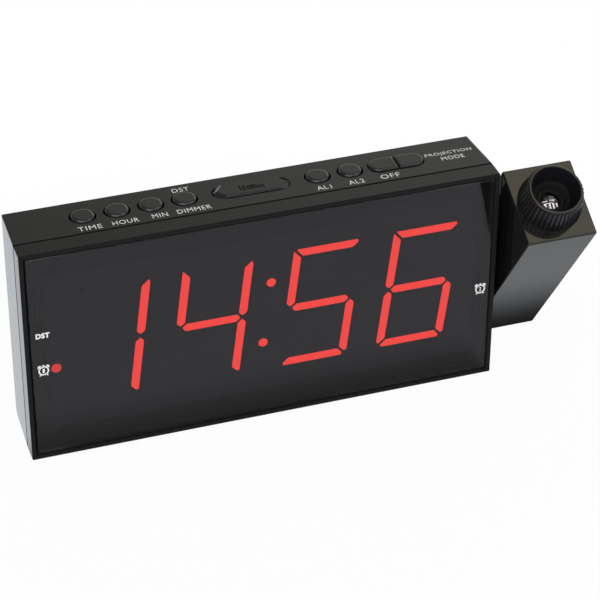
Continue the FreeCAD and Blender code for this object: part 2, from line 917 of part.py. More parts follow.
# Off and projection keys: the two halves of one slot
split = 0.22
pair_dome = 0.7
pair_end = pair_length / 2 + 3
for name, side in (("key_off", -1), ("key_projection", 1)):
    key = new_body(name)
    pad(
        key, "XY", flange_low, flange_top - flange_low,
        lambda sketch: stadium(sketch, pair_x, pair_length + 2.0, pair_radius + 1.0),
    )
    pad(
        key, "XY", flange_top, cap_top - flange_top,
        lambda sketch: stadium(sketch, pair_x, pair_length, pair_radius),
    )
    near_side = pair_x + side * split
    far_side = pair_x - side * pair_end
    pocket(
        key, "XY", flange_low - 1.0, cap_top - flange_low + 2.0,
        lambda sketch: rectangle(
            sketch, near_side if side < 0 else far_side, key_line - 9.0,
            far_side if side < 0 else near_side, key_line + 9.0,
        ),
        towards=1,
    )
    round_edges(key, pair_dome, cap_rim)
    add_stem(key, pair_x + side * 5.0)
    finish(key, name)

# Key board and its switches
switch_places = [across for name, across in key_places]
switch_places += [snooze_x, pair_x - 5.0, pair_x + 5.0]
key_board = new_body("key_board")
pad(
    key_board, "XY", key_board_low, board_thick,
    lambda sketch: rectangle(sketch, -78.0, 13.0, 78.0, 24.2),
)
pocket(
    key_board, "XY", key_board_top, board_thick,
    lambda sketch: [circle(sketch, side * 72.0, key_line, 1.25) for side in (-1, 1)],
)
finish(key_board, "key_board")
switches = []
for across in switch_places:
    shell = block(
        "switch_shell", (across - 3.0, key_line - 3.0, key_board_top),
        (across + 3.0, key_line + 3.0, switch_top),
    )
    well = rod(
        "switch_well", "Z", (across, key_line, key_board_top + 1.2), stem_radius + 0.3,
        switch_height,
    )
    switches.append(cut("key_switch", shell, well))
finish(group("key_switch_group", switches), "key_switches")

# Main board with its parts
main_board = new_body("main_board")
pad(
    main_board, "XZ", main_board_front, board_thick,
    lambda sketch: rectangle(sketch, -69.0, 8.0, 69.0, 64.0),
)
pocket(main_board, "XZ", main_board_front, board_thick, draw_posts(1.15), towards=1)
finish(main_board, "main_board")
finish(
    block("chip", (-12.0, main_board_front - 1.5, 30.0), (6.0, main_board_front, 38.0)),
    "controller_chip",
)
crystal = rod("crystal_can", "Z", (14.0, main_board_front - 1.6, 30.0), 1.5, 8.0)
finish(crystal, "quartz_crystal")
finish(
    rod("capacitor_can", "Y", (30.0, main_board_front - 7.0, 20.0), 3.1, 7.0),
    "smoothing_capacitor",
)
link_pitch = 2.54
link_count = 12
link_back = board_front + 1.6
finish(
    group("link_group", [
        block(
            "link_pin", (-14.0 + link_pitch * i - 0.32, link_back, 15.0 - 0.32),
            (-14.0 + link_pitch * i + 0.32, main_board_front, 15.0 + 0.32),
        )
        for i in range(link_count)
    ]),
    "board_link_pins",
)

# Supply socket
jack_front = main_board_back
jack = new_body("dc_jack")
pad(
    jack, "XZ", jack_front, inner_back - jack_front - 0.1,
    lambda sketch: rectangle(sketch, jack_x - 5.0, jack_up - 5.5, jack_x + 5.0, jack_up + 5.5),
)
pad(
    jack, "XZ", inner_back - 0.1, wall,
    lambda sketch: circle(sketch, jack_x, jack_up, jack_nozzle),
)
jack_back = inner_back - 0.1 + wall
pocket(jack, "XZ", jack_back, 6.4, lambda sketch: circle(sketch, jack_x, jack_up, 2.8))
finish(jack, "dc_jack")
finish(
    rod("jack_pin_rod", "Y", (jack_x, jack_back - 6.4, jack_up), 1.0, 5.6), "jack_pin"
)

# Buzzer in its collar
buzzer_front = inner_back - 4.6
buzzer_can = rod("buzzer_can", "Y", (buzzer_x, buzzer_front, buzzer_up), buzzer_radius, 4.5)
buzzer_port = rod("buzzer_port", "Y", (buzzer_x, buzzer_front + 1.5, buzzer_up), 1.4, 4.0)
finish(cut("buzzer_cut", buzzer_can, buzzer_port), "buzzer")

# Backup cell: holder, contacts, cell, door and its captive screw
holder_front = main_board_back
cell_front = Size(22.2, "22.2")
cell_back = cell_front + cell_thick
holder = new_body("cell_holder")
pad(
    holder, "XZ", holder_front, cell_back - holder_front - 0.3,
    square(door_x, door_up, cell_radius + 2.5),
)
pocket(
    holder, "XZ", cell_back, cell_back - cell_front + 0.6,
    lambda sketch: circle(sketch, door_x, door_up, cell_radius + 0.15),
)
finish(holder, "cell_holder")
finish(rod("cell_disc", "Y", (door_x, cell_front, door_up), cell_radius, cell_thick), "coin_cell")
contact_front = cell_front - 0.6
finish(
    group("contact_group", [
        block(
            "contact_strip", (door_x - 2.0 + shift, contact_front, door_up - 7.0),
            (door_x + 2.0 + shift, cell_front, door_up + 7.0),
        )
        for shift in (-3.5, 3.5)
    ]),
    "cell_contacts",
)
door_back = case_depth - 0.05
door_front = case_depth - door_sink + 0.05
door = new_body("battery_door")
pad(door, "XZ", door_front, door_back - door_front, square(door_x, door_up, door_half))


def draw_door_rim(sketch):
    square(door_x, door_up, bay_half - 0.2)(sketch)
    square(door_x, door_up, bay_half - 1.4)(sketch)


pad(door, "XZ", cell_back + 0.3, door_front - cell_back - 0.2, draw_door_rim)
door_screw_seat = door_back - 0.7
pocket(
    door, "XZ", door_back, 0.7,
    lambda sketch: circle(sketch, door_x, door_screw_up, 1.75),
)
pocket(
    door, "XZ", door_back, 3.0,
    lambda sketch: circle(sketch, door_x, door_screw_up, 0.85),
)
finish(door, "battery_door")


def pan_screw(name, across, seat, up, shank, length, head, head_height):
    """A pan-head screw that points towards the front, its head behind the seat."""
    core = rod(name + "_shank", "Y", (across, seat - length, up), shank, length)
    top = rod(name + "_head", "Y", (across, seat, up), head, head_height)
    slot = block(
        name + "_slot", (across - head - 1, seat + head_height * 0.67, up - head * 0.1),
        (across + head + 1, seat + head_height + 1, up + head * 0.1),
    )
    return cut(name, fuse(name + "_solid", core, top), slot)


finish(
    pan_screw(
        "door_pan", door_x, door_screw_seat, door_screw_up, door_screw_radius, 3.0, 1.6, 0.65
    ),
    "door_screw",
)

# Feet: four round pads glued into shallow recesses of the underside
feet = []
for across, back in foot_places:
    foot = new_body("rubber_foot")
    pad(
        foot, "XY", -foot_height, foot_height + foot_sink,
        lambda sketch: circle(sketch, across, back, foot_radius),
    )
    round_edges(foot, 0.5, lambda p, e: near(p.z, -foot_height))
    feet.append(foot)
finish(group("feet_group", feet), "rubber_feet")

# Casing screws and board screws
screw_seat = 16.0
finish(
    group("casing_screw_group", [
        pan_screw("casing_screw", boss_x * side, screw_seat, up, screw_radius, 10.0, 2.5, 1.8)
        for side, up in corners
    ]),
    "casing_screws",
)


def board_screw(across, up):
    """A screw through the main board into a casing post, its head to the front."""
    core = rod("post_shank", "Y", (across, main_board_front, up), 1.0, 5.5)
    top = rod("post_head", "Y", (across, main_board_front - 1.3, up), 2.0, 1.3)
    return fuse("board_screw", core, top)


finish(
    group("board_screw_group", [board_screw(across, up) for across, up in post_places]),
    "board_screws",
)

# Pivot: bush fixed in the case, hollow shaft on the head, washer, stop disc and clip
bush = new_body("pivot_bush")
bush_inner = shaft_radius + shaft_clear
bush_start = cavity_half - 1.0
flange_start = half_width + 0.05


def draw_ring(inner, outer):
    def draw(sketch):
        circle(sketch, pivot_back, pivot_up, outer)
        circle(sketch, pivot_back, pivot_up, inner)
    return draw


pad(bush, "YZ", bush_start, flange_start - bush_start, draw_ring(bush_inner, bush_radius))
pad(bush, "YZ", flange_start, 1.45, draw_ring(bush_inner, 7.0))
finish(bush, "pivot_bush")

shaft = new_body("pivot_shaft")
shaft_start = bush_start - 3.6
cover_inner = head_left + wall
shaft_bore = 2.8
pad(
    shaft, "YZ", shaft_start, cover_inner + 1.6 - shaft_start,
    draw_ring(shaft_bore, shaft_radius),
)
pad(shaft, "YZ", cover_inner, 1.6, draw_ring(shaft_bore, 8.6))
clip_start = bush_start - 2.8
pocket(shaft, "YZ", clip_start + 0.8, 0.8, draw_ring(shaft_radius - 0.4, shaft_radius + 1))
finish(shaft, "pivot_shaft", "head")


def plain_ring(label, start, thick, inner, outer):
    ring = new_body(label)
    pad(ring, "YZ", start, thick, draw_ring(inner, outer))
    return finish(ring, label, "head")


plain_ring("friction_washer", bush_start - 0.7, 0.6, shaft_radius + 0.05, 5.7)
plain_ring("pivot_clip", clip_start + 0.05, 0.7, shaft_radius - 0.35, 6.2)
stop = new_body("stop_disc")
stop_start = bush_start - 1.9
pad(stop, "YZ", stop_start, 1.1, draw_ring(shaft_radius, 5.6))
pad(
    stop, "YZ", stop_start, 1.1,
    lambda sketch: rectangle(
        sketch, pivot_back - lug_half, pivot_up - 8.0, pivot_back + lug_half, pivot_up - 5.0
    ),
)
finish(stop, "stop_disc", "head")

# Projector head: box with a sloping lens face, open towards the case, and its side cover
head_back = case_depth
shell_left = head_left + wall


def head_outline(sketch, margin):
    """Side view of the head, drawn a margin inside its outline."""
    fall = head_slope / case_depth
    front, back = margin, head_back - margin
    outline(sketch, [
        (front, margin), (back, margin),
        (back, head_height - margin - back * fall), (front, head_height - margin - front * fall),
    ])


shell_middle = (shell_left + head_right) / 2
housing = new_body("head_housing")
pad(
    housing, "YZ", shell_left, head_width - wall,
    lambda sketch: head_outline(sketch, ZERO + 0),
)
round_edges(
    housing, 3.5,
    lambda p, e: near(p.y, head_back) and near(p.z, 0) and e.Length > 20,
)
round_edges(
    housing, edge_round,
    lambda p, e: near(p.x, head_right)
    or (near(p.x, shell_middle) and p.z > 70)
    or (near(p.x, shell_middle) and e.Length > 20 and p.z < 3 and p.y < 3),
)
pocket(
    housing, "YZ", shell_left, head_width - wall * 2,
    lambda sketch: head_outline(sketch, wall), towards=1,
)
screw_corners = [(5.6, 5.6), (22.4, 6.6), (25.2, 46.0)]


def draw_head_screws(radius):
    def draw(sketch):
        for back, up in screw_corners:
            circle(sketch, back, up, radius)
    return draw


pad(housing, "YZ", shell_left, head_width - wall * 2 + 0.5, draw_head_screws(2.2))
pocket(housing, "YZ", shell_left, 8.0, draw_head_screws(0.9), towards=1)

# Ledge on the right-hand wall that the projector's board lies on
board_reach = head_width / 2 - wall - 0.1
ledge_up = 47.0
pad(
    housing, "YZ", head_right - wall, 1.6,
    lambda sketch: outline(sketch, [
        (3.0, ledge_up), (20.0, ledge_up), (20.0, ledge_up + 0.9), (3.0, ledge_up + 2.4),
    ]),
    towards=-1,
)

# Round hole in the lens face for the focus ring's sleeve, square to that face
sleeve_radius = 7.9
hole = new_sketch(housing, "XY", head_height)
hole.setExpression("AttachmentOffset.Base.z", None)
hole.AttachmentOffset = lens_face
hole_drawing = Drawing()
circle(hole_drawing, 0, 0, sleeve_radius + 0.1)
extrude(housing, hole_drawing.commit(hole), 4.0, -1, cut=True)
finish(housing, "head_housing", "head")

cover = new_body("head_side_cover")
pad(cover, "YZ", head_left, wall, lambda sketch: head_outline(sketch, ZERO + 0))
round_edges(
    cover, 3.5, lambda p, e: near(p.y, head_back) and near(p.z, 0) and near(e.Length, wall),
)
round_edges(
    cover, edge_round,
    lambda p, e: near(p.x, head_left)
    or (near(e.Length, wall) and (p.z > 70 or (p.z < 1 and p.y < 1))),
)
pocket(
    cover, "YZ", head_left, wall,
    lambda sketch: circle(sketch, pivot_back, pivot_up, shaft_radius + 0.05), towards=1,
)
pocket(cover, "YZ", head_left, 1.2, draw_head_screws(2.0), towards=1)

# Two tabs at the cover's top hook inside the housing's front and back walls
tab_thick = 1.3
tab_reach = 3.0
tab_low, tab_high = 60.0, 66.0
for near_side in (wall + 0.1, head_back - wall - 0.1 - tab_thick):
    pad(
        cover, "YZ", shell_left, tab_reach,
        lambda sketch: rectangle(sketch, near_side, tab_low, near_side + tab_thick, tab_high),
    )
pocket(cover, "YZ", head_left, wall, draw_head_screws(0.95), towards=1)
finish(cover, "head_side_cover", "head")
finish(
    group("head_screw_group", [
        fuse(
            "head_screw",
            rod("head_screw_head", "X", (head_left + 0.2, back, up), 1.8, 1.0),
            rod("head_screw_shank", "X", (head_left + 1.2, back, up), 0.9, 6.0),
        )
        for back, up in screw_corners
    ]),
    "head_screws", "head",
)

# Focus ring: knurled cone with a funnel inside and a sleeve that clips into the lens face
ring_lift = 0.25
ring_body = new_body("focus_ring")


def knurl_section(level, radius):
    """A toothed outline, one ridge and one groove for each tooth."""
    sketch = new_sketch(ring_body, "XY", level)
    points = []
    for i in range(knurl_count):
        for share, sink in ((0.0, 0), (0.38, 0), (0.62, 1), (0.76, 1)):
            angle = 2 * math.pi * (i + share) / knurl_count
            reach = radius - knurl_depth * sink
            points.append(FreeCAD.Vector(
                reach.value * math.cos(angle), reach.value * math.sin(angle), 0
            ))
    for i, point in enumerate(points):
        sketch.addGeometry(Part.LineSegment(point, points[(i + 1) % len(points)]), False)
    return sketch


knurl_top = ring_height - 0.7
foot_section = knurl_section(ring_lift, ring_foot)
top_section = knurl_section(knurl_top, ring_top)
loft(ring_body, [foot_section, top_section])
rim_outer = ring_top - 0.35
funnel_low = Size(1.6, "1.6")
sleeve_low = Size(-6.0, "-6.0")
barrel_hole = barrel_radius + 0.05
revolve(ring_body, [
    (barrel_hole, sleeve_low), (sleeve_radius, sleeve_low), (sleeve_radius, -3.4),
    (sleeve_radius + 0.7, -3.2), (sleeve_radius + 0.7, -2.3), (sleeve_radius, -2.3),
    (sleeve_radius, ring_lift), (rim_outer, ring_lift), (rim_outer, ring_height - 0.2),
    (rim_outer - 0.2, ring_height), (barrel_hole, ring_height),
])
revolve(ring_body, [
    (0, ring_height + 1), (ring_mouth, ring_height + 1), (ring_mouth, ring_height - 0.1),
    (barrel_hole + 0.6, funnel_low), (barrel_hole, funnel_low), (barrel_hole, -7.0), (0, -7.0),
], cut=True)
finish(ring_body, "focus_ring", "optics")

# Lens barrel: slides inside the ring's sleeve and carries the projection lens
barrel_low = Size(-9.0, "-9.0")
barrel_top = Size(1.4, "1.4")
barrel = new_body("lens_barrel")
revolve(barrel, [
    (lens_radius - 0.4, barrel_low), (barrel_radius, barrel_low), (barrel_radius, barrel_top - 0.3),
    (barrel_radius - 0.3, barrel_top), (lens_radius - 0.1, barrel_top),
    (lens_radius - 0.4, barrel_top - 0.3), (lens_radius - 0.4, barrel_top - 0.9),
    (lens_radius, barrel_top - 0.9), (lens_radius, barrel_top - 3.4),
    (lens_radius - 0.4, barrel_top - 3.4),
])
finish(barrel, "lens_barrel", "optics")


def lens(label, radius, rim, low, edge, crown_low, crown_high):
    """A round lens: a disc from low to low + edge, with spherical crowns inside its rim."""
    clear = radius - rim
    shape = Part.makeCylinder(radius, edge, FreeCAD.Vector(0, 0, low))
    for start, crown, way in ((low + edge, crown_high, 1), (low, crown_low, -1)):
        if not crown:
            continue
        sphere_radius = (clear ** 2 + crown ** 2) / (2 * crown)
        centre = FreeCAD.Vector(0, 0, start + way * (crown - sphere_radius))
        foot = FreeCAD.Vector(0, 0, start if way > 0 else start - crown)
        cap = Part.makeSphere(sphere_radius, centre).common(Part.makeCylinder(clear, crown, foot))
        shape = shape.fuse(cap)
    feature = doc.addObject("Part::Feature", label + "_glass")
    feature.Shape = shape.removeSplitter()
    return feature


lens_low = barrel_top.value - 3.4
finish(
    lens("projection_lens", lens_radius.value, 0.45, lens_low, 2.5, 0.6, 0.75),
    "projection_lens", "optics",
)

# Optical tube below the ring: film gate, condenser, projector light and its board
tube_outer, tube_inner = 7.4, 6.2
tube_top, tube_low = -10.8, -30.0
led_board_low = tube_low - 1.2
tube = new_body("optic_tube")
revolve(tube, [
    (tube_inner, tube_low), (tube_outer, tube_low), (tube_outer, tube_top), (tube_inner, tube_top),
])
finish(tube, "optic_tube", "optics")
gate = new_body("lcd_gate")
gate_low = -23.6
pad(gate, "XY", gate_low, 2.6, lambda sketch: circle(sketch, 0, 0, tube_inner))
pocket(
    gate, "XY", gate_low + 2.6, 1.3,
    lambda sketch: rectangle(sketch, -4.1, -4.1, 4.1, 4.1),
)
pocket(
    gate, "XY", gate_low + 1.3, 1.3,
    lambda sketch: rectangle(sketch, -3.2, -2.4, 3.2, 2.4),
)
finish(gate, "lcd_gate", "optics")
finish(
    block("lcd_glass", (-4.0, -4.0, gate_low + 1.3), (4.0, 4.0, gate_low + 2.5)),
    "lcd_slide", "optics",
)
finish(
    lens("condenser_lens", tube_inner, 0, gate_low - 2.9, 1.0, 0, 1.6),
    "condenser_lens", "optics",
)
led_board = new_body("led_board")
pad(
    led_board, "XY", led_board_low, 1.2,
    lambda sketch: rectangle(sketch, -board_reach, -9.6, board_reach, 9.6),
)
finish(led_board, "led_board", "optics")
led_stem = rod("led_stem", "Z", (0, 0, tube_low), 1.5, 1.0)
led_dome = doc.addObject("Part::Sphere", "led_dome")
led_dome.Radius = 1.5
led_dome.Placement.Base = FreeCAD.Vector(0, 0, tube_low + 1.0)
led_dome.Angle1 = 0
finish(fuse("led_solid", led_stem, led_dome), "projector_led", "optics")


# Lead through the hollow pivot, in two halves that meet inside the shaft
def lead(label, points, radius, bend, station):
    """A round lead along straight runs joined by tangent arcs."""
    points = [FreeCAD.Vector(*point) for point in points]
    edges = []
    start = points[0]
    for i in range(1, len(points) - 1):
        back = (points[i - 1] - points[i]).normalize()
        ahead = (points[i + 1] - points[i]).normalize()
        half = back.getAngle(ahead) / 2
        reach = bend / math.tan(half)
        entry, leave = points[i] + back * reach, points[i] + ahead * reach
        towards = (back + ahead).normalize()
        middle = points[i] + towards * (bend / math.sin(half) - bend)
        edges.append(Part.LineSegment(start, entry).toShape())
        edges.append(Part.Arc(entry, middle, leave).toShape())
        start = leave
    edges.append(Part.LineSegment(start, points[-1]).toShape())
    path = Part.Wire(edges)
    direction = (points[1] - points[0]).normalize()
    ring = Part.Wire(Part.makeCircle(radius, points[0], direction))
    feature = doc.addObject("Part::Feature", label + "_tube")
    feature.Shape = path.makePipeShell([ring], True, False)
    print(label, "length", round(path.Length, 1), "volume error",
          round(feature.Shape.Volume / (math.pi * radius ** 2 * path.Length) - 1, 4))
    return finish(feature, label, station)


back_mm, up_mm = pivot_back.value, pivot_up.value
meeting = (head_left - 2.0).value
lead(
    "case_lead",
    [(meeting, back_mm, up_mm), (58.0, back_mm, up_mm), (58.0, main_board_front, up_mm)],
    1.2, 4.5, "case",
)
bend_at = FreeCAD.Vector((cover_inner + 4.5).value, back_mm, up_mm)
along_beam = lens_face.inverse().multVec(bend_at)
under_board = lens_face.multVec(FreeCAD.Vector(along_beam.x, along_beam.y, led_board_low))
lead(
    "head_lead",
    [(meeting, back_mm, up_mm), tuple(bend_at), tuple(under_board)],
    1.2, 2.6, "head",
)

# Check every object, then write one file for each sub-part
doc.recompute()
for thing in doc.Objects:
    if "Invalid" in thing.State or "Error" in thing.State:
        raise ValueError("{} failed: {}".format(thing.Label, thing.State))
os.makedirs("parts", exist_ok=True)
labels = set()
for node in nodes:
    if node.Shape.isNull() or not node.Shape.isValid():
        raise ValueError(node.Label + " has no valid shape")
    if node.Label in labels:
        raise ValueError(node.Label + " is used twice")
    labels.add(node.Label)
    node.Shape.exportStep("parts/{}.step".format(node.Label))
    box = node.Shape.BoundBox
    spans = [box.XMin, box.XMax, box.YMin, box.YMax, box.ZMin, box.ZMax]
    print(
        "{:20s}".format(node.Label), len(node.Shape.Solids), "solids",
        round(node.Shape.Volume, 1), "mm3", " ".join("{:7.2f}".format(end) for end in spans),
    )
print(len(nodes), "sub-parts")
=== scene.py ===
# %% [markdown]
# # A projection alarm clock
#
# The clock is a flat black box with a red display, a row of keys on top and a projector head that
# turns at its right-hand side. The solids come packed, in metres, with their joints. This file
# gives them their finishes and adds the thin things that only the eye needs: printed words and
# icons, the raised sleeper on the snooze bar, and glowing strokes under the lens that are a
# painted highlight.

import json
import math

import bpy
from mathutils import Matrix, Vector


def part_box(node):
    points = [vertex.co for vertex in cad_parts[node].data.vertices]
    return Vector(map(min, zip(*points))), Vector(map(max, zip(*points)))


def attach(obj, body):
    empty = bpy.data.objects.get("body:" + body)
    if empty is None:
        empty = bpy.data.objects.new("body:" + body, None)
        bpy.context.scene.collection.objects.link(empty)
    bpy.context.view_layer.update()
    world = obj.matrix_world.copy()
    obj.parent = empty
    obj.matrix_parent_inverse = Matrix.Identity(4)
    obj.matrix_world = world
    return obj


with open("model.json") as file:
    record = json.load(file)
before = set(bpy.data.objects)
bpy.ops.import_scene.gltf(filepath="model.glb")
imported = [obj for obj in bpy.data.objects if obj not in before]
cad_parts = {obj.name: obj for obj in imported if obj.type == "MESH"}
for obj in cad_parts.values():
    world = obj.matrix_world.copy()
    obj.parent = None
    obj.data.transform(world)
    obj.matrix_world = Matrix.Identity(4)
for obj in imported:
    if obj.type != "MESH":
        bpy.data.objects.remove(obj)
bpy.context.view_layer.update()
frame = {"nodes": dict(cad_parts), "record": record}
MM = 0.001
print("packed nodes:", len(frame["nodes"]))

# %% [markdown]
# ## The camera
#
# The camera stands where the lens of the photo stood. Its place and turn were worked out from the
# straight edges of the case: a long lens, under a metre away, up and to the left. A copied matrix
# would do the same, but a place, three angles and a focal length can be read and changed.

# %% Place the camera
CAMERA_PLACE = Vector((-207.5, -670.9, 515.7)) * MM
CAMERA_TURN = (55.945, -0.143, -18.382)
PHOTO_PIXELS = 600
FOCAL_PIXELS = 2472.06

camera_data = bpy.data.cameras.new("camera")
camera_data.sensor_width = 36.0
camera_data.lens = FOCAL_PIXELS / PHOTO_PIXELS * camera_data.sensor_width
camera_data.clip_start = 0.01
camera = bpy.data.objects.new("camera", camera_data)
camera.location = CAMERA_PLACE
camera.rotation_euler = [math.radians(turn) for turn in CAMERA_TURN]
bpy.context.scene.collection.objects.link(camera)
bpy.context.scene.camera = camera
print("lens:", round(camera_data.lens, 1), "mm")

# %% [markdown]
# ## Writing a material as sums
#
# A finish is a picture made by arithmetic: noise times a depth, plus a base, and so on. Nodes can
# be placed one by one, but then the sum is lost among the links. This small class holds one socket
# and lets Python's own operators add the Math nodes, so a finish reads like the sum it is.

# %% The class that wraps a socket
class Wire:
    """A socket of one material. Arithmetic on it adds Math nodes."""

    def __init__(self, tree, socket=None):
        self.tree = tree
        self.socket = socket

    def node(self, kind, settings=None, inputs=None, output=0):
        """Adds any node: its settings first, then the values or links of its sockets."""
        made = self.tree.nodes.new(kind)
        for name, value in (settings or {}).items():
            if name == "stops":
                self.set_stops(made.color_ramp, value)
            else:
                setattr(made, name, value)
        for name, value in (inputs or {}).items():
            if isinstance(value, Wire):
                self.tree.links.new(value.socket, made.inputs[name])
            else:
                made.inputs[name].default_value = value
        return Wire(self.tree, made.outputs[output])

    @staticmethod
    def set_stops(ramp, stops):
        """Gives a colour ramp its grey stops, each a place and a value."""
        while len(ramp.elements) < len(stops):
            ramp.elements.new(1.0)
        for element, (place, value) in zip(ramp.elements, stops):
            element.position = place
            element.color = (value, value, value, 1.0)

    def maths(self, operation, first, second):
        return self.node("ShaderNodeMath", {"operation": operation}, {0: first, 1: second})

    def __add__(self, other):
        return self.maths("ADD", self, other)

    __radd__ = __add__

    def __sub__(self, other):
        return self.maths("SUBTRACT", self, other)

    def __rsub__(self, other):
        return self.maths("SUBTRACT", other, self)

    def __mul__(self, other):
        return self.maths("MULTIPLY", self, other)

    __rmul__ = __mul__

    def size(self):
        """How far from zero, whichever the sign."""
        return self.maths("ABSOLUTE", self, 0.0)

    def least(self, other):
        """The smaller of two."""
        return self.maths("MINIMUM", self, other)

    def ramp(self, low, high, start=0.0, end=1.0):
        """Goes from start to end, smoothly, while this wire goes from low to high."""
        return self.node(
            "ShaderNodeMapRange", {"interpolation_type": "SMOOTHSTEP"},
            {"Value": self, 1: low, 2: high, 3: start, 4: end},
        )

    def blend(self, first, second):
        """A colour between two others, with this wire as the share of the second."""
        ends = [end if isinstance(end, Wire) else tuple(end) + (1.0,) for end in (first, second)]
        return self.node(
            "ShaderNodeMix", {"data_type": "RGBA"}, {"Factor": self, 6: ends[0], 7: ends[1]},
            output=2,
        )


# %% [markdown]
# ## What every finish starts from
#
# Moulded plastic looks like plastic because of small unevenness: the gloss wanders a little, dust
# and fingerprints lie in patches, and the skin is never quite flat. One function lays these three
# on a Principled shader, and each finish chooses how strong they are. The pattern is taken in
# object space, which here is the clock's own frame in metres, so it has its real size everywhere.

# %% One function for a moulded or drawn surface
def noise(tree, per_mm, detail=3.0, stretch=None):
    """Soft noise with the given number of waves per millimetre."""
    place = Wire(tree).node("ShaderNodeTexCoord", output=3)
    if stretch:
        place = place.node("ShaderNodeMapping", {}, {"Vector": place, "Scale": stretch})
    return place.node(
        "ShaderNodeTexNoise", {},
        {"Vector": place, "Scale": per_mm / MM, "Detail": detail, "Roughness": 0.55},
    )


def place_of(tree, output=3):
    """X, Y and Z of a point in the clock's frame, or of the direction of a ray (output 0)."""
    place = Wire(tree).node("ShaderNodeTexCoord", output=output)
    split = place.node("ShaderNodeSeparateXYZ", {}, {"Vector": place}).socket.node
    return [Wire(tree, split.outputs[i]) for i in range(3)]


def surface(name, colour, rough, worn=None, patch=0.02, wander=0.06, grain=8.0, relief=0.0,
            stretch=None, shade=None, **constants):
    """A material with wandering gloss, patches of a second colour and a fine relief.

    A shade is a function that gives a mask of painted shade, 1 where the surface is deep in a
    groove.
    """
    made = bpy.data.materials.new(name)
    made.use_nodes = True
    tree = made.node_tree
    shader = tree.nodes["Principled BSDF"]
    worn = worn or tuple(part * 1.35 + 0.002 for part in colour)
    patches = noise(tree, patch, 4.0)
    tint = patches.blend(colour, worn)
    gloss = rough + (patches - 0.5) * wander + (noise(tree, 0.5) - 0.5) * (wander * 0.5)
    if shade:
        # Where the mask is 1, the colour is painted near black as painted shade and the gloss is
        # dulled.
        painted_shade_mask = shade(tree)
        tint = painted_shade_mask.blend(tint, PAINTED_GROOVE_SHADE)
        gloss = gloss + painted_shade_mask * (1.0 - rough)
    tree.links.new(tint.socket, shader.inputs["Base Color"])
    tree.links.new(gloss.socket, shader.inputs["Roughness"])
    if relief:
        skin = noise(tree, grain, 2.0, stretch)
        bump = skin.node(
            "ShaderNodeBump", {}, {"Height": skin, "Strength": relief, "Distance": 0.02 * MM}
        )
        tree.links.new(bump.socket, shader.inputs["Normal"])
    for socket, value in constants.items():
        shader.inputs[socket.replace("_", " ")].default_value = value
    return made


# %% [markdown]
# ## The black plastics
#
# The case, the head and the keys are the same glossy black resin. Its own colour is nearly black,
# so what the eye sees is the room mirrored in it: about four parts in a hundred straight on and
# far more at a glancing angle. That comes from the shader's index of refraction by itself. The
# keys and the ring are duller than the case, so their edges catch a wider and softer glint.
#
# The seam round the case, the gap round the window, the narrow front of the frame and the bottom
# of the ring's funnel are made dull, and their colour is painted near black: painted shade in the
# grooves and the funnel, and on the frame's front a painted shade that hides its glint. The masks
# are in millimetres.

# %% Where the painted shade in the grooves of the case is
# The near black of the painted shade in the grooves and the gap.
PAINTED_GROOVE_SHADE = (0.0006, 0.0006, 0.0008)
frame_low, frame_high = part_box("front_frame")
SEAM_Y = frame_low.y + 7.4 * MM
HALF_SEAM = 0.54 * MM
SEAM_FADE = 0.06 * MM
RIM = 1.2 * MM
RIM_FADE = 0.1 * MM
EDGE = 0.5 * MM
GAP_DEPTH = (4.0 * MM, 3.5 * MM)
CASE_SPARE = 0.4 * MM
SHARP = 0.01 * MM


def painted_groove_shade(tree):
    """Painted shade: 1 in the seam, on the frame's front and in the gap behind it, and 0
    elsewhere.
    """
    x, y, z = place_of(tree)
    from_edge = (frame_high.x - x.size()).least(
        (frame_high.z - frame_low.z) / 2 - (z - (frame_high.z + frame_low.z) / 2).size()
    )
    on_case = (frame_high.x + CASE_SPARE - x.size()).ramp(0.0, SHARP)
    seam = (y - SEAM_Y).size().ramp(HALF_SEAM, HALF_SEAM - SEAM_FADE)
    front = y.ramp(frame_low.y + EDGE, frame_low.y + EDGE * 0.6)
    in_gap = y.ramp(*(frame_low.y + depth for depth in GAP_DEPTH))
    gap = from_edge.ramp(RIM, RIM + RIM_FADE) * in_gap
    return ((seam + front) * on_case + gap).least(1.0)


# %% Where the painted shade at the bottom of the ring's funnel is
LENS_MIDDLE = Vector((0.0977, -0.023512, 0.07552))
BEAM = Vector((0, -0.499405, 0.866369))
FUNNEL_BOTTOM = 6.6 * MM
FUNNEL_FADE = 0.8 * MM


def painted_funnel_shade(tree):
    """Painted shade: 1 near the axis of the focus ring, down in its funnel, and 0 on its rim and
    its grip.
    """
    x, y, z = [part - middle for part, middle in zip(place_of(tree), LENS_MIDDLE)]
    along = y * BEAM.y + z * BEAM.z
    from_axis = x * x + y * y + z * z - along * along
    return from_axis.ramp(FUNNEL_BOTTOM ** 2, (FUNNEL_BOTTOM - FUNNEL_FADE) ** 2)


# %% Finishes of the case, the keys and the ring
RESIN = (0.0045, 0.0045, 0.0046)
case_finish = surface(
    "case_resin", RESIN, 0.08, relief=0.06, grain=2.0, wander=0.05, shade=painted_groove_shade, IOR=1.5
)
key_finish = surface("key_resin", (0.015, 0.015, 0.015), 0.22, relief=0.12, grain=3.0, IOR=1.5)
ring_finish = surface(
    "ring_resin", (0.004, 0.004, 0.005), 0.26, relief=0.2, grain=3.0, shade=painted_funnel_shade, IOR=1.5
)
inner_finish = surface("inner_resin", (0.010, 0.010, 0.010), 0.45, relief=0.2, grain=4.0)
# The barrel is the inside black made darker and browner, with a weaker mirror: its darkness is
# painted shade for the deep bottom of the funnel.
barrel_painted_shade_finish = surface(
    "barrel_resin", (0.003, 0.0025, 0.002), 0.6, relief=0.2, grain=4.0, IOR=1.3
)
print("black finishes:", case_finish.name, key_finish.name, ring_finish.name)

# %% [markdown]
# ## The display
#
# The window is a smoked sheet with a mirror gloss. It could be faked by painting digits on black,
# but then they would not sit behind the glass when the clock turns. Here the sheet really lets
# light through, tinted by its colour, and the lit bars behind it give light of their own.

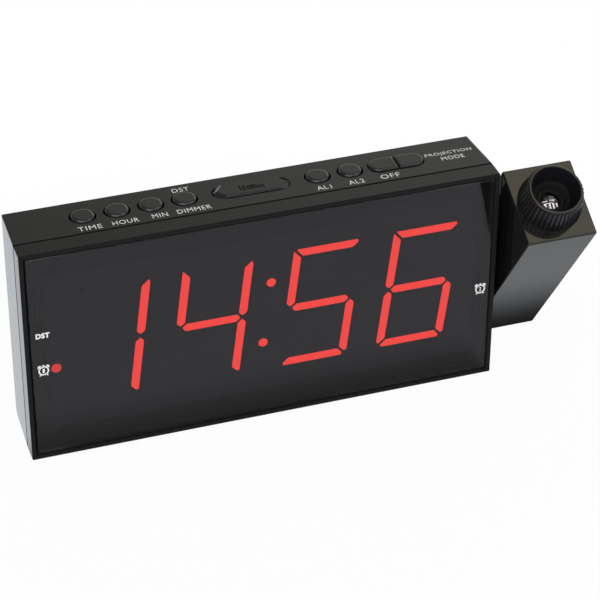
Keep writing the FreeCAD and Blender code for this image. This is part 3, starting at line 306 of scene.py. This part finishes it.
# %% One function for what gives light
def light_up(finish, colour, strength):
    """Lets a finish give light of its own. The colour is three numbers or a wire."""
    shader = finish.node_tree.nodes["Principled BSDF"]
    if isinstance(colour, Wire):
        finish.node_tree.links.new(colour.socket, shader.inputs["Emission Color"])
    else:
        shader.inputs["Emission Color"].default_value = tuple(colour) + (1.0,)
    shader.inputs["Emission Strength"].default_value = strength


# %% Finishes of the window and what lies behind it
SMOKE = (0.20, 0.17, 0.19)
LIT = (1.0, 0.060, 0.042)
BAR_DIM = 0.93
DOT_DIM = 0.68
DOT_X = (-70 * MM, -71 * MM)
window_finish = surface(
    "window_smoke", SMOKE, 0.03, worn=SMOKE, wander=0.01, IOR=1.45, Transmission_Weight=1.0,
)
lit_finish = surface("lit_diffuser", (0.6, 0.03, 0.02), 0.4, wander=0.02)
glow = noise(lit_finish.node_tree, 0.4)
bars = glow.blend(tuple(part * BAR_DIM for part in LIT), LIT)
dot_side = place_of(lit_finish.node_tree)[0].ramp(*DOT_X)
light_up(lit_finish, dot_side.blend(bars, tuple(part * DOT_DIM for part in LIT)), 4.4)
unlit_finish = surface("unlit_diffuser", (0.016, 0.008, 0.008), 0.5)
# The reflector's faint red glow of its own is painted light: it stands in for red light from the
# bars spilling onto it.
reflector_painted_glow_finish = surface("reflector_resin_painted_glow", (0.010, 0.010, 0.012), 0.5)
light_up(reflector_painted_glow_finish, (1.0, 0.30, 0.32), 0.004)
print("display finishes:", window_finish.name, lit_finish.name, unlit_finish.name)

# %% [markdown]
# ## Metals, boards, rubber and glass
#
# Most of these are inside and show only when a cover comes off, but each still has the finish that
# its maker would give it: brushed screws, green solder mask, black rubber, clear lenses.

# %% Finishes of the smaller things
steel_finish = surface(
    "zinc_steel", (0.55, 0.55, 0.56), 0.30, relief=0.3, grain=4.0, stretch=(1, 1, 8), Metallic=1.0
)
brass_finish = surface("plated_brass", (0.75, 0.58, 0.28), 0.28, relief=0.2, Metallic=1.0)
board_finish = surface(
    "solder_mask", (0.015, 0.10, 0.035), 0.32, worn=(0.03, 0.17, 0.06), patch=0.12, relief=0.3
)
component_finish = surface("component_resin", (0.02, 0.02, 0.022), 0.5, relief=0.3, grain=6.0)
rubber_finish = surface("foot_rubber", (0.022, 0.022, 0.022), 0.75, relief=0.5, grain=5.0)
led_finish = surface("led_resin", (0.75, 0.74, 0.68), 0.18, wander=0.04)
glass_finish = surface(
    "lens_glass", (0.96, 0.97, 1.0), 0.01, worn=(0.96, 0.97, 1.0), wander=0.004, IOR=1.52,
    Transmission_Weight=1.0,
)
ink_finish = surface("white_ink", (0.88, 0.88, 0.87), 0.5, worn=(0.82, 0.82, 0.81), patch=0.6)
print("finishes so far:", len(bpy.data.materials))

# %% Give each node its finish
FINISH_OF_SLOT = {
    "casing": case_finish,
    "keycap": key_finish,
    "window": window_finish,
    "black_inner": inner_finish,
    "ring_black": ring_finish,
    "lit_red": lit_finish,
    "unlit_red": unlit_finish,
    "led_lens": led_finish,
    "circuit_board": board_finish,
    "component": component_finish,
    "steel": steel_finish,
    "contact": brass_finish,
    "foot_rubber": rubber_finish,
    "lead_rubber": rubber_finish,
    "optic_glass": glass_finish,
}
for part in frame["record"]["subparts"]:
    node = frame["nodes"][part["node"]]
    node.data.materials.clear()
    node.data.materials.append(FINISH_OF_SLOT[part["material_slot"]])
frame["nodes"]["display_reflector"].data.materials[0] = reflector_painted_glow_finish
frame["nodes"]["lens_barrel"].data.materials[0] = barrel_painted_shade_finish

# %% [markdown]
# ## Printed words
#
# The words on the casing are white ink a few hundredths of a millimetre thick. A texture would
# blur close up, so each word is a thin solid cut from Blender's own lettering, laid just above the
# surface and drawn to the width and height that it has on the clock.

# %% A word as a thin sheet of ink
INK_THICK = 0.03 * MM
LETTER_SPACE = 1.1
FLOAT = 0.015 * MM
TOP_FALL, TOP_RUN = 0.9 * MM, 21.1 * MM
TOP_SLOPE = math.atan2(TOP_FALL, TOP_RUN)
REAR_EDGE = frame_low.y + 7.7 * MM
case_low, case_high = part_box("rear_casing")
window_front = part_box("display_window")[0].y


def top_height(y):
    """Height of the sloping top of the rear casing at a distance y along the clock."""
    return case_high.z - max(0.0, y - REAR_EDGE) * math.tan(TOP_SLOPE)


def lay_on_top(x, y):
    """A place on the top face: width along X, letters upright towards +Y."""
    turn = Matrix.Rotation(-TOP_SLOPE, 4, "X")
    return Matrix.Translation((x, y, top_height(y) + FLOAT)) @ turn


def lay_on_window(x, z):
    """A place on the window: width along X, letters upright towards +Z."""
    return Matrix.Translation((x, window_front - FLOAT, z)) @ Matrix.Rotation(math.pi / 2, 4, "X")


def add_piece(name, mesh, finish, body):
    """Gives a mesh its finish and name, and lets it ride on a body."""
    mesh.materials.clear()
    mesh.materials.append(finish)
    piece = bpy.data.objects.new(name, mesh)
    bpy.context.scene.collection.objects.link(piece)
    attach(piece, body)


def word_mesh(text, width, height, heavy):
    """Lettering drawn to a width and a height, centred on the origin, in the XY plane."""
    curve = bpy.data.curves.new("lettering", "FONT")
    curve.body = text
    curve.extrude = INK_THICK / 2
    curve.offset = heavy
    curve.space_character = LETTER_SPACE
    curve.resolution_u = 4
    stand_in = bpy.data.objects.new("lettering", curve)
    bpy.context.scene.collection.objects.link(stand_in)
    bpy.context.view_layer.update()
    mesh = bpy.data.meshes.new_from_object(stand_in.evaluated_get(
        bpy.context.evaluated_depsgraph_get()
    ))
    bpy.data.objects.remove(stand_in)
    xs = [v.co.x for v in mesh.vertices]
    ys = [v.co.y for v in mesh.vertices]
    middle = Vector(((min(xs) + max(xs)) / 2, (min(ys) + max(ys)) / 2, 0))
    fit = Matrix.Diagonal((width / (max(xs) - min(xs)), height / (max(ys) - min(ys)), 1, 1))
    mesh.transform(fit @ Matrix.Translation(-middle))
    return mesh


def print_word(text, place, width, height, name=None, heavy=0.0):
    """Prints a word at a place on the case, at a width and a height in millimetres."""
    mesh = word_mesh(text, width * MM, height * MM, heavy)
    mesh.transform(place)
    add_piece("print_" + (name or text.lower()), mesh, ink_finish, "case")


# %% [markdown]
# ## Where the words stand
#
# Each key has its word in front of it, except that the fourth key has a second one behind it and
# the last key has its two words at its right. The numbers are millimetres on the clock: across
# from the middle, back from the front face, and then the word's own width and height.

# %% Print the words on the top
FRONT = frame_low.y
TOP_WORDS = (
    ("TIME", -56.8, 10.4, 8.0, 2.6),
    ("HOUR", -44.8, 10.5, 8.9, 2.6),
    ("MIN", -33.1, 10.7, 5.3, 2.6),
    ("DIMMER", -21.3, 10.8, 11.7, 2.6),
    ("DST", -22.1, 24.9, 5.8, 2.5),
    ("AL1", 23.8, 10.5, 5.1, 2.6),
    ("AL2", 35.3, 10.6, 5.5, 2.6),
    ("OFF", 47.4, 10.7, 6.8, 2.7),
    ("PROJECTION", 71.7, 19.4, 17.0, 2.4),
    ("MODE", 72.0, 15.9, 8.2, 2.4),
)
for text, across, back, width, height in TOP_WORDS:
    print_word(text, lay_on_top(across * MM, FRONT + back * MM), width, height)
print("words on top:", len(TOP_WORDS))

# %% [markdown]
# ## The icons on the window
#
# Beside the display stand a word and two little alarm clocks with a number in each. An icon is
# built flat from a few rings, bars and discs, as a sign painter would cut it, and a number from
# the same lettering as the words goes in its middle.

# %% Flat shapes for the icons
def flat_mesh(name, outlines, thick=INK_THICK):
    """Flat closed outlines, each given a thickness."""
    points, faces = [], []
    for outline in outlines:
        first, count = len(points), len(outline)
        points += [(x, y, thick / 2) for x, y in outline]
        points += [(x, y, -thick / 2) for x, y in outline]
        faces.append([first + i for i in range(count)])
        faces.append([first + count + i for i in reversed(range(count))])
        for i in range(count):
            follow = (i + 1) % count
            faces.append([first + follow, first + i, first + count + i, first + count + follow])
    mesh = bpy.data.meshes.new(name)
    mesh.from_pydata(points, [], faces)
    return mesh


def arc(centre, radius, start, end, steps):
    """Points along an arc, angles in degrees."""
    angles = [math.radians(start + (end - start) * i / steps) for i in range(steps + 1)]
    return [
        (centre[0] + radius * math.cos(angle), centre[1] + radius * math.sin(angle))
        for angle in angles
    ]


def ring_pieces(centre, inner, outer, parts=24):
    """A ring, as short quads side by side."""
    step = 360.0 / parts
    return [
        arc(centre, outer, i * step, (i + 1) * step, 1)
        + arc(centre, inner, (i + 1) * step, i * step, 1)
        for i in range(parts)
    ]


def turned(outline, degrees, reach):
    """An outline pushed out by a reach along +Y, then turned clockwise about the origin."""
    turn = math.radians(-degrees)
    return [
        (x * math.cos(turn) - (y + reach) * math.sin(turn),
         x * math.sin(turn) + (y + reach) * math.cos(turn))
        for x, y in outline
    ]


# %% Draw the two icons and the word beside the display
ICON_RIM = (1.34 * MM, 1.84 * MM)
BELL_RADIUS, BELL_REACH, BELL_TURN = 0.72 * MM, 1.98 * MM, 42
FOOT_HALF, FOOT_LONG, FOOT_REACH, FOOT_TURN = 0.22 * MM, 0.8 * MM, 1.65 * MM, 146
KNOB_RADIUS, KNOB_REACH = 0.30 * MM, 2.1 * MM
NUMBER_SIZE = (0.75, 1.65)


def alarm_icon(name, number, place):
    """A small alarm clock: rim, two bells, a knob, two feet, and a number inside."""
    bell = arc((0, 0), BELL_RADIUS, 0, 180, 12)
    foot = [(-FOOT_HALF, 0), (FOOT_HALF, 0), (FOOT_HALF, FOOT_LONG), (-FOOT_HALF, FOOT_LONG)]
    outlines = ring_pieces((0, 0), *ICON_RIM)
    outlines += [turned(bell, side * BELL_TURN, BELL_REACH) for side in (-1, 1)]
    outlines += [turned(foot, side * FOOT_TURN, FOOT_REACH) for side in (-1, 1)]
    outlines.append(arc((0, KNOB_REACH), KNOB_RADIUS, 0, 345, 14))
    mesh = flat_mesh(name, outlines)
    mesh.transform(place)
    add_piece(name, mesh, ink_finish, "case")
    print_word(number, place, *NUMBER_SIZE, name + "_number", 0.03)


UNDERSIDE = case_low.z
alarm_icon("alarm_icon_one", "1", lay_on_window(-77.3 * MM, 36.0 * MM + UNDERSIDE))
alarm_icon("alarm_icon_two", "2", lay_on_window(77.9 * MM, 36.2 * MM + UNDERSIDE))
print_word("DST", lay_on_window(-76.9 * MM, 50.0 * MM + UNDERSIDE), 4.7, 2.1, "dst_window", 0.05)
print("icons stand above the underside at", round(UNDERSIDE / MM, 2), "mm")

# %% [markdown]
# ## The sleeper on the snooze bar and the painted highlight in the lens
#
# The snooze bar has a small sign of somebody asleep in a bed, black on black, so it shows only as
# a lack of shine. In the lens, a few bright strokes give light of their own: a painted highlight
# that stands in for light mirrored in the lens. They are thin plates too: the sign stands out of
# the bar a little, the strokes lie under the glass.

# %% Add the sign on the snooze bar
snooze_low, snooze_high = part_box("key_snooze")
SNOOZE_MIDDLE = ((snooze_low.x + snooze_high.x) / 2, (snooze_low.y + snooze_high.y) / 2)
RELIEF = 0.10 * MM
STANDS_OUT = 0.3


def bar(left, right, low, high):
    """The outline of a bar between four edges, given in millimetres."""
    corners = ((left, low), (right, low), (right, high), (left, high))
    return [(x * MM, y * MM) for x, y in corners]


sleeper = [
    bar(-4.2, 4.4, -1.75, -1.25), bar(-4.2, -3.7, -1.3, 1.5), bar(3.9, 4.4, -1.3, -0.1),
    bar(-1.7, 3.8, -0.75, -0.2), bar(-1.2, 1.6, 0.1, 0.6),
    arc((-2.6 * MM, 0.0), 0.72 * MM, 0, 345, 16),
]
relief_mesh = flat_mesh("snooze_relief", sleeper, RELIEF)
relief_mesh.transform(Matrix.Translation((*SNOOZE_MIDDLE, snooze_high.z + RELIEF * STANDS_OUT)))
sign_finish = surface("sign_black", (0.004, 0.004, 0.004), 0.5, IOR=1.25)
add_piece("snooze_relief", relief_mesh, sign_finish, "key_snooze")
print("plates in the sign:", len(sleeper))

# %% Add the glowing strokes of painted highlight under the lens
ASIDE, BELOW = Vector((0.5 * MM, 0, 0)), 3.0 * MM
UNDER_LENS = LENS_MIDDLE + ASIDE - BEAM * BELOW
strokes = [
    bar(-2.2, -1.75, -1.3, 0.3), bar(-1.25, -0.75, -1.7, 0.7), bar(-0.1, 0.3, -1.6, 0.7),
    bar(0.75, 1.2, -1.5, 0.5), bar(1.6, 2.0, -0.9, 0.4), bar(-1.6, -0.2, 1.15, 1.35),
    bar(0.3, 1.5, 1.1, 1.35), bar(-1.0, 0.9, 0.55, 0.7),
]
# The strokes glow: a painted highlight in the lens, not a lamp.
painted_lens_glint = surface("painted_lens_glint", (0.8, 0.78, 0.76), 0.4)
light_up(painted_lens_glint, (1.0, 0.93, 0.90), 0.5)
stroke_mesh = flat_mesh("lens_glint_strokes", strokes)
stroke_mesh.transform(
    Matrix.Translation(UNDER_LENS) @ BEAM.to_track_quat("Z", "Y").to_matrix().to_4x4()
)
add_piece("lens_glint_strokes", stroke_mesh, painted_lens_glint, "lens_barrel")
print("strokes under the lens:", len(strokes))

# %% [markdown]
# ## The floor and the light
#
# The clock was photographed on white, and its gloss shows that white. Close to the clock the
# camera sees a real pale sheet with a faint shadow. What mirrors and lenses see there is painted
# shadow: a white glow whose strength is set by place, dimmer in front of the clock and darkest
# under the head, so that it shows under the head and in the window's lower edge. Farther off the
# floor turns into the white that the camera, mirrors and lenses see. The room is darker overhead
# and behind the camera, which is why the top of the clock looks nearly black. None of this puts
# more light on the
# clock: that comes from three lamps at a plain level.

# %% Rays of one kind
def ray_share(tree, kind):
    """1 for the rays of one kind, such as the camera's, and 0 for all others."""
    path = tree.nodes.new("ShaderNodeLightPath")
    return Wire(tree, path.outputs["Is " + kind + " Ray"])


# %% The floor
floor_mesh = bpy.data.meshes.new("floor")
REACH = 12.0
floor_mesh.from_pydata(
    [(-REACH, -REACH, 0), (REACH, -REACH, 0), (REACH, REACH, 0), (-REACH, REACH, 0)],
    [], [(0, 1, 2, 3)],
)
floor = bpy.data.objects.new("floor", floor_mesh)
bpy.context.scene.collection.objects.link(floor)
floor_finish = bpy.data.materials.new("floor_white")
floor_finish.use_nodes = True
floor_tree = floor_finish.node_tree
floor_shader = floor_tree.nodes["Principled BSDF"]
floor_shader.inputs["Base Color"].default_value = (0.76, 0.78, 0.83, 1.0)
floor_shader.inputs["Roughness"].default_value = 0.9
floor_shader.inputs["Specular IOR Level"].default_value = 0.0
floor_mesh.materials.append(floor_finish)
print("floor:", 2 * REACH, "m wide")

# %% The white that the floor shows to each kind of ray, with painted shadow for mirrors
NEAR_SQUARE, FAR_SQUARE = 0.009, 0.035
SHEET_WHITE = 0.965
MIRROR_TINT = (0.93, 0.965, 1.0)

x, y = place_of(floor_tree)[:2]
far = (x * x + y * y).ramp(NEAR_SQUARE, FAR_SQUARE)
# For mirrors and lenses the floor is a glow with painted shadow: dimmer just in front of the clock
# and darkest under the head, full white behind, and tinted a little blue.
painted_shadow_in_front = y.ramp(-12 * MM, -48 * MM, 0.27, 0.70)
painted_shadow_under_head = y.ramp(11 * MM, -7 * MM, 0.05, 0.72)
beside_head = x.ramp(80 * MM, 88 * MM) * x.ramp(200 * MM, 130 * MM) * y.ramp(60 * MM, 30 * MM)
behind = y.ramp(-16 * MM, 4 * MM)
shade = painted_shadow_in_front + behind * (1.0 - painted_shadow_in_front)
shade = shade + beside_head * (painted_shadow_under_head - shade)

for_camera = ray_share(floor_tree, "Camera")
for_mirrors = ray_share(floor_tree, "Glossy") + ray_share(floor_tree, "Transmission")
white_tint = for_mirrors.blend((1.0, 1.0, 1.0), MIRROR_TINT)
strength = for_camera + for_mirrors * shade
white = strength.node("ShaderNodeEmission", {}, {"Color": white_tint, "Strength": strength})
pale = (for_camera * far.ramp(0.0, 1.0, SHEET_WHITE, 1.0) + for_mirrors).least(1.0)
sheet = Wire(floor_tree, floor_shader.outputs[0])
mixed = white.node("ShaderNodeMixShader", {}, {0: pale, 1: sheet, 2: white})
floor_tree.links.new(mixed.socket, floor_tree.nodes["Material Output"].inputs["Surface"])
print("nodes in the floor:", len(floor_tree.nodes))

# %% The world
world = bpy.data.worlds.new("studio")
bpy.context.scene.world = world
world.use_nodes = True
world_tree = world.node_tree
background = world_tree.nodes["Background"]
HEIGHT_STOPS = ((0.0, 1.0), (0.12, 0.9), (0.40, 0.42), (0.60, 0.36), (0.85, 0.30))

x, y, z = place_of(world_tree, 0)
height = z.node("ShaderNodeValToRGB", {"stops": HEIGHT_STOPS}, {"Fac": z})
rear_light = y.ramp(-0.4, 0.7, 0.45, 1.0)
right_light = x.ramp(0.0, 0.42, 0.55, 1.45)
room = height * rear_light * right_light
warm = room.node("ShaderNodeCombineColor", {}, {0: room, 1: room * 0.99, 2: room * 0.94})
to_camera = ray_share(world_tree, "Camera")
sky = to_camera.node(
    "ShaderNodeMix", {"data_type": "RGBA"},
    {"Factor": to_camera, 6: warm, 7: (1.0, 1.0, 1.0, 1.0)}, output=2,
)
world_tree.links.new(sky.socket, background.inputs["Color"])
print("nodes in the world:", len(world_tree.nodes))


# %% The lamps
def soft_lamp(name, place, aim, wide, watts, colour=(1.0, 1.0, 1.0)):
    """A square lamp that shines from a place towards a point, both in metres."""
    data = bpy.data.lights.new(name, "AREA")
    data.size = wide
    data.energy = watts
    data.color = colour
    lamp = bpy.data.objects.new(name, data)
    lamp.location = place
    lamp.rotation_euler = (Vector(aim) - Vector(place)).to_track_quat("-Z", "Y").to_euler()
    bpy.context.scene.collection.objects.link(lamp)


CASE_MIDDLE = (0, 0, 0.04)
WARM_LIGHT, COOL_LIGHT = (1.0, 0.93, 0.68), (0.86, 0.92, 1.0)
soft_lamp("overhead_lamp", (0.62, -0.13, 1.30), (0.05, 0, 0.04), 0.5, 1.1, WARM_LIGHT)
soft_lamp("key_lamp", (-0.7, -1.2, 0.95), CASE_MIDDLE, 2.0, 27.0)
soft_lamp("fill_lamp", (1.1, -0.8, 0.7), CASE_MIDDLE, 1.6, 8.0, COOL_LIGHT)
print("lamps:", len(bpy.data.lights))

bpy.context.scene.view_settings.view_transform = "Standard"
